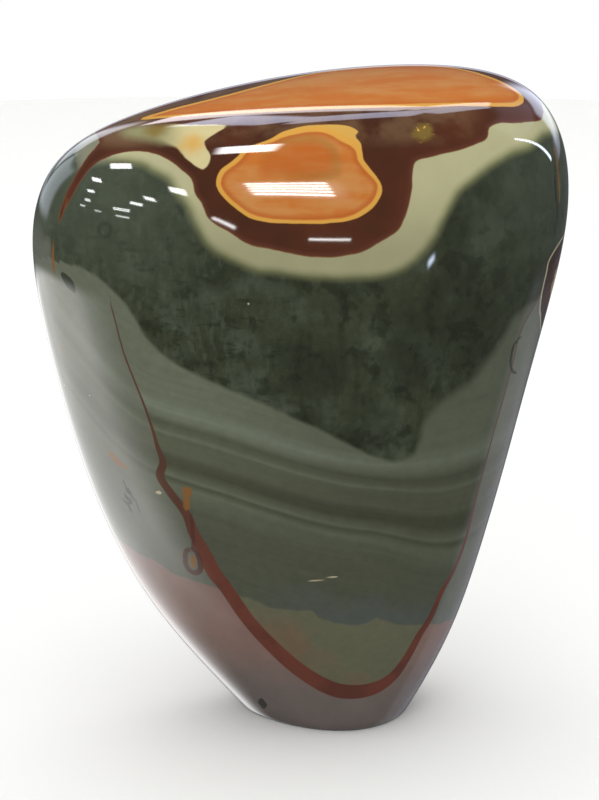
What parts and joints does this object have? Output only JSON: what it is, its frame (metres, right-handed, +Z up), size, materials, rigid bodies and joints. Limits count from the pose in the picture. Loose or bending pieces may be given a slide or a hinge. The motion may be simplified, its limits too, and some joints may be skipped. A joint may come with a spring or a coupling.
{
  "type": "polished polychrome jasper freeform",
  "caption": "Polished freeform of banded multicoloured jasper: a rounded, downward-tapering shield of stone with a sloping top, standing on a small flat sawn foot.",
  "frame": {"origin": "in the flat foot, below the middle of the stone", "axes": "+Z up, -Y out of the front of the stone, +X to the right as seen from the front"},
  "size_m": [0.1488, 0.077, 0.1896],
  "materials": {
    "polished_jasper": "opaque stone with a mirror polish; dark green body with orange, yellow, brown and cream markings"
  },
  "bodies": {
    "root": {"stone": "polished_jasper"}
  },
  "joints": []
}
